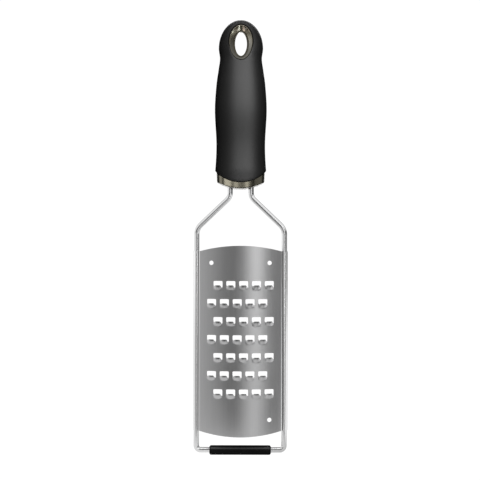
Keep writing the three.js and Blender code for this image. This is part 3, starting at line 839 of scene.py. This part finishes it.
def eyeletSurface(side):
    turn = np.linspace(0, 2 * math.pi, eye["around"], endpoint=False)[None, :]
    angle, v = ovalPlace(turn, 0, side)
    surface = np.abs(handleSurface(angle, v)[..., 1])
    seam, ledge, ledgeDepth, stepRound = (eye[k] for k in ("seam", "ledge", "ledgeDepth", "stepRound"))
    rimRound, outer, rib = eye["rimRound"], eye["flare"], eye["flare"] + eye["rib"]
    share = np.linspace(0, 1, eye["funnelRows"])[:, None]
    edge = np.linspace(0, math.pi / 2, eye["rimRows"])[1:, None]
    step = np.array([0, 0, stepRound, ledge / 2])[:, None]
    stepDepth = np.array([seam, ledgeDepth - stepRound, ledgeDepth, ledgeDepth])[:, None]
    funnel = ledge + (outer - rimRound - ledge) * share
    flare = np.concatenate([step, funnel, outer - rimRound * (1 - np.sin(edge)),
                            np.array([outer, rib, rib, outer, outer])[:, None]])
    depth = np.concatenate([0 * surface + stepDepth, ledgeDepth + (surface - ledgeDepth) * share,
                            surface - rimRound * (1 - np.cos(edge)),
                            surface * np.array(eye["ribDepths"])[:, None], 0 * surface + seam])
    x = (eye["throatX"] + flare) * np.cos(turn)
    z = handle["base"] + eyeMiddle + (eye["throatZ"] + flare) * np.sin(turn)
    return np.stack([x, side * depth, z], -1)


eyeTrims = []
for side, name, node in ((-1, "eye_trim_front", "hang_eyelet_front"), (1, "eye_trim_back", "hang_eyelet_back")):
    grid = eyeletSurface(side)
    loops = gridQuads(*grid.shape[:2], True, True)
    eyeTrims.append(putPiece(name, grid.reshape(-1, 3), loops, trim, node))


# Foot: a rounded bar with a bore, its upper edges rounder than its lower ones

foot = dict(halfLength=22.8, halfDepth=3.8, halfHeight=3.25, upperRound=3.1, lowerRound=1.0, endRound=1.4,
            bore=2.325, cornerSteps=9, roundRows=7, endRings=(0, 0.35, 0.7), lengthRows=13)


# an outline of four rounded corners carried along x; it shrinks over the end rounds and closes in to the bore
def footSurface():
    arc = np.linspace(0, math.pi / 2, foot["cornerSteps"])
    ring = np.concatenate([arc + k * math.pi / 2 for k in range(4)])
    corner = np.repeat([foot["upperRound"], foot["upperRound"], foot["lowerRound"], foot["lowerRound"]], len(arc))
    signY = np.repeat([1, -1, -1, 1], len(arc))
    signZ = np.repeat([1, 1, -1, -1], len(arc))
    y = signY * (foot["halfDepth"] - corner) + corner * np.cos(ring)
    z = signZ * (foot["halfHeight"] - corner) + corner * np.sin(ring)
    outline = np.stack([y, z], -1)
    bore = foot["bore"] * unit(outline)
    near = roundSteps(foot["endRound"], foot["roundRows"])
    shrink = 1 - edgeRound(near, foot["endRound"])[:, None] / np.array([foot["halfDepth"], foot["halfHeight"]])
    endRows = [bore + (outline * shrink[0] - bore) * s for s in foot["endRings"]]
    endRows += [outline * s for s in shrink]
    endX = np.concatenate([[-foot["halfLength"]] * len(foot["endRings"]), near - foot["halfLength"]])
    straight = foot["halfLength"] - near[-1]
    middleX = np.linspace(-straight, straight, foot["lengthRows"])[1:-1]
    rows = np.stack(endRows + [outline] * len(middleX) + endRows[::-1])
    x = np.concatenate([endX, middleX, -endX[::-1]])
    place = np.broadcast_to(x[:, None], rows.shape[:2])
    return np.stack([place, rows[..., 0], rows[..., 1] + foot["halfHeight"]], -1)


grid = footSurface()
loops = gridQuads(*grid.shape[:2], True, True)
footPad = putPiece("foot_pad", grid.reshape(-1, 3), loops, rubber, "foot_sleeve")

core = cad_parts["handle_core"]
core.data.materials.clear()
core.data.materials.append(corePlastic())


# Stage: pale sweep, white surround, grey cards for the metal to mirror, soft boxes

def stageSheet(name, grid, finish):
    rows, cols = grid.shape[:2]
    mesh = bpy.data.meshes.new(name)
    mesh.from_pydata(grid.reshape(-1, 3).tolist(), [], gridQuads(rows, cols).tolist())
    mesh.shade_smooth()
    mesh.materials.append(finish)
    sheet = bpy.data.objects.new(name, mesh)
    bpy.context.scene.collection.objects.link(sheet)
    return sheet


# a lamp or card that reaches only some pieces, or all but those
def reach(source, pieces, state="INCLUDE"):
    group = bpy.data.collections.new(source.name + "_reach")
    for piece in pieces:
        group.objects.link(piece)
    for member in group.collection_objects:
        member.light_linking.link_state = state
    source.light_linking.receiver_collection = group


white = (1, 1, 1, 1)
sweep = dict(under=0.0002, front=-2.2, back=1.8, bend=0.5, top=2.4, halfWidth=2.6, bendSteps=12, columns=3,
             matt=(0.85, 0.85, 0.85, 1), glow=1.12, glowShare=0.9)


# white to the eye, to mirrors and to glass; a plain pale surface to all other light
def paleFinish(name):
    material, f = newFinish(name)
    matt = f.add("ShaderNodeBsdfDiffuse", {}, {"Color": sweep["matt"]})
    shine = f.add("ShaderNodeEmission", {}, {"Color": white, "Strength": sweep["glow"]})
    f.output(f.add("ShaderNodeMixShader", {}, {0: f.seen() * sweep["glowShare"], 1: matt, 2: shine}))
    return material


# a level floor, a quarter circle and an upright wall, carried across
turn = np.linspace(0, math.pi / 2, sweep["bendSteps"])
wallY = sweep["back"] + sweep["bend"]
sweepY = np.concatenate([[sweep["front"]], sweep["back"] + sweep["bend"] * np.sin(turn), [wallY]])
rises = np.concatenate([[0], sweep["bend"] * (1 - np.cos(turn)), [sweep["top"]]])
sweepZ = footLow - sweep["under"] + rises
across = np.linspace(-sweep["halfWidth"], sweep["halfWidth"], sweep["columns"])
grid = np.stack(np.broadcast_arrays(across[None, :], sweepY[:, None], sweepZ[:, None]), -1)
paleSweep = stageSheet("pale_sweep", grid, paleFinish("pale_sweep"))
reach(paleSweep, [footPad], "EXCLUDE")


# grey cards, seen only in reflections of the metal pieces: a dome, and a ring on the floor. Each is graded by
# bearing, and goes over from one set of grades to the next by its height, or by its distance over the floor
def greyCard(name, grid, byHeight, zones):
    material, f = newFinish(name)
    x, y, z = f.axes()
    bearing = x.math("ARCTAN2", x, y * -1) / (2 * math.pi) + 0.5
    along = z if byHeight else (x * x + y * y) ** 0.5
    level = (0, 0, 0, 1)
    for (start, end), grades in zones:
        stops = [((degrees + 180) / 360, value) for degrees, value in grades]
        shade = f.add("ShaderNodeValToRGB", {"stops": stops}, {0: bearing})
        level = f.blend(f.clamp((along - start) / (end - start)), level, shade)
    f.output(f.add("ShaderNodeEmission", {}, {"Color": level, "Strength": 1.0}))
    sheet = stageSheet(name, grid, material)
    sheet.visible_camera = sheet.visible_diffuse = sheet.visible_shadow = sheet.visible_transmission = False
    reach(sheet, [gripShell, collarBand, footPad], "EXCLUDE")


# bearings in degrees from the front, to the right; each with its grey level
farGrades = [(-180, 0.75), (-140, 0.85), (-100, 0.95), (-60, 0.72), (-46, 0.5), (-34, 0.44), (-26, 0.38),
             (-18, 0.22), (-10, 0.06), (-2, 0.08), (8, 0.66), (14, 0.95), (20, 0.82), (28, 0.3), (36, 0.13),
             (46, 0.13), (53, 0.6), (61, 1.25), (73, 1.25), (86, 0.75), (120, 0.7), (150, 0.75), (180, 0.75)]
nearGrades = [(-180, 0.7), (-100, 0.85), (0, 0.8), (48, 0.7), (90, 0.6), (150, 0.6), (180, 0.7)]
lowGrades = [(-180, 0.75), (-150, 0.9), (-62, 1.08), (-46, 0.86), (-34, 0.72), (-22, 0.44), (-12, 0.2),
             (-6, 0.08), (0, 0.06), (30, 0.13), (48, 0.24), (70, 0.32), (110, 0.3), (145, 0.2), (160, 0.4),
             (180, 0.75)]
midGrades = [(-180, 1.0), (-75, 1.0), (-58, 0.5), (-46, 0.1), (-4, 0.08), (8, 0.25), (22, 0.25), (32, 0.08),
             (60, 0.08), (150, 0.1), (165, 0.4), (180, 1.0)]
topGrades = [(-180, 0.3), (-150, 0.4), (-120, 0.8), (-90, 0.95), (-50, 0.95), (-22, 0.75), (-8, 0.25), (8, 0.4),
             (22, 0.95), (50, 1.05), (90, 0.95), (120, 0.6), (150, 0.2), (180, 0.3)]
card = dict(radius=2.0, centre=footLow + 0.08, columns=80, domeRows=24, domeLow=-2.4, domeTop=86,
            midRise=(4.5, 7), topRise=(13, 24), ringRows=8, ringStart=0.012, ringGap=0.02, lift=0.0006,
            farStart=(0.07, 0.12), everywhere=(-9, -8))


def domeHeights(rises):
    return [card["centre"] + card["radius"] * math.sin(math.radians(rise)) for rise in rises]


# dome: radius times sine and cosine of the bearing and the rise; ring: distance times those of the bearing
bearing = np.radians(np.linspace(-180, 180, card["columns"]))[None, :]
rise = np.radians(np.linspace(card["domeLow"], card["domeTop"], card["domeRows"]))[:, None]
grid = np.stack(np.broadcast_arrays(card["radius"] * np.sin(bearing) * np.cos(rise),
                                    -card["radius"] * np.cos(bearing) * np.cos(rise),
                                    card["centre"] + card["radius"] * np.sin(rise)), -1)
greyCard("dome_card", grid, True, [(card["everywhere"], lowGrades), (domeHeights(card["midRise"]), midGrades),
                                   (domeHeights(card["topRise"]), topGrades)])
away = np.linspace(card["ringStart"], card["radius"] - card["ringGap"], card["ringRows"])[:, None]
grid = np.stack(np.broadcast_arrays(away * np.sin(bearing), -away * np.cos(bearing),
                                    0 * away + footLow + card["lift"]), -1)
greyCard("floor_card", grid, False, [(card["everywhere"], nearGrades), (card["farStart"], farGrades)])

surround = dict(light=0.18)  # what it gives to all other light; the eye sees 1
world = bpy.data.worlds.new("surround")
bpy.context.scene.world = world
world.use_nodes = True
f = Finish(world.node_tree)
strength = f.seen() * (1 - surround["light"]) + surround["light"]
f.output(f.add("ShaderNodeBackground", {}, {"Color": white, "Strength": strength}), "World")


# a soft box of a given brightness, aimed at a point and placed by its bearing from the camera's side; it reaches
# all pieces, or only those given
def softBox(name, bearing, rise, distance, width, height, level, aim, pieces=None, tint=(1, 1, 1)):
    lamp = bpy.data.lights.new(name, "AREA")
    lamp.shape = "RECTANGLE"
    lamp.size, lamp.size_y = width, height
    lamp.color = tint
    lamp.energy = level * math.pi * width * height
    box = bpy.data.objects.new(name, lamp)
    a, e = math.radians(bearing), math.radians(rise)
    toBox = Vector((math.sin(a) * math.cos(e), -math.cos(a) * math.cos(e), math.sin(e)))
    box.location = aim + toBox * distance
    box.rotation_euler = toBox.to_track_quat("Z", "Y").to_euler()
    bpy.context.scene.collection.objects.link(box)
    if pieces:
        reach(box, pieces)
    return box


middle, gripFront, gripBack = (Vector((0, 0, footLow + height)) for height in (0.16, 0.285, 0.26))
eyeTop, backTrim = Vector((0, 0, 0)), eyeTrims[1:]
reach(softBox("key_low", 16.2, 1, 1.6, 0.34, 0.7, 1.95, middle), [footPad], "EXCLUDE")
softBox("top_box", 0, 76, 1.3, 0.7, 0.7, 2.5, middle)
softBox("grip_box", 13, 15, 0.36, 0.36, 0.22, 6.2, gripFront, [gripShell])
softBox("crown_box", 0, 60, 1.3, 1.1, 0.9, 2.1, middle, [gripShell])
softBox("foot_box", 0, 58, 1.2, 1.6, 0.9, 7.0, middle, [footPad])
softBox("collar_left", -47, 4, 1.5, 1.0, 0.5, 2.2, middle, [collarBand])
softBox("collar_middle", -11, 4, 1.5, 0.34, 0.5, 1.7, middle, [collarBand])
softBox("collar_fill", 0, 6, 1.6, 3.6, 0.8, 0.28, middle, [collarBand])
softBox("collar_far_left", -96, 2, 1.5, 0.8, 0.5, 0.9, middle, [collarBand])
softBox("collar_far_right", 80, 2, 1.5, 1.8, 0.5, 0.34, middle, [collarBand])
softBox("collar_back", 180, 1, 1.4, 1.4, 0.4, 1.5, middle, [collarBand])
softBox("eye_left", -156, -36, 0.35, 0.08, 0.06, 60.0, eyeTop, backTrim, (0.7, 0.8, 1))
softBox("eye_right", 168, -37, 0.35, 0.07, 0.06, 20.0, eyeTop, backTrim, (0.95, 0.85, 1))
softBox("eye_side", 166, -13, 0.5, 0.12, 0.14, 4.5, eyeTop, backTrim)
softBox("grip_back", 175, 40, 1.4, 1.2, 0.6, 2.5, middle, [gripShell])
softBox("grip_behind", 184, 6, 0.7, 0.4, 0.5, 16.0, gripBack, [gripShell]).visible_glossy = False
softBox("front_fill", 10, 42, 1.5, 0.9, 0.7, 4.0, middle).visible_glossy = False
print("stage set")


# Camera: straight on, level with the middle of the picture

shot = dict(distance=0.9, aside=-0.0004, height=0.159, roll=math.radians(-0.12), span=0.3564, sensor=36.0)
cameraData = bpy.data.cameras.new("camera")
cameraData.sensor_width = shot["sensor"]
cameraData.lens = shot["sensor"] * shot["distance"] / shot["span"]
camera = bpy.data.objects.new("camera", cameraData)
camera.location = (shot["aside"], -shot["distance"], footLow + shot["height"])
camera.rotation_euler = (math.pi / 2, shot["roll"], 0)
bpy.context.scene.collection.objects.link(camera)
bpy.context.scene.camera = camera
bpy.context.scene.view_settings.view_transform = "Standard"

print("camera set")
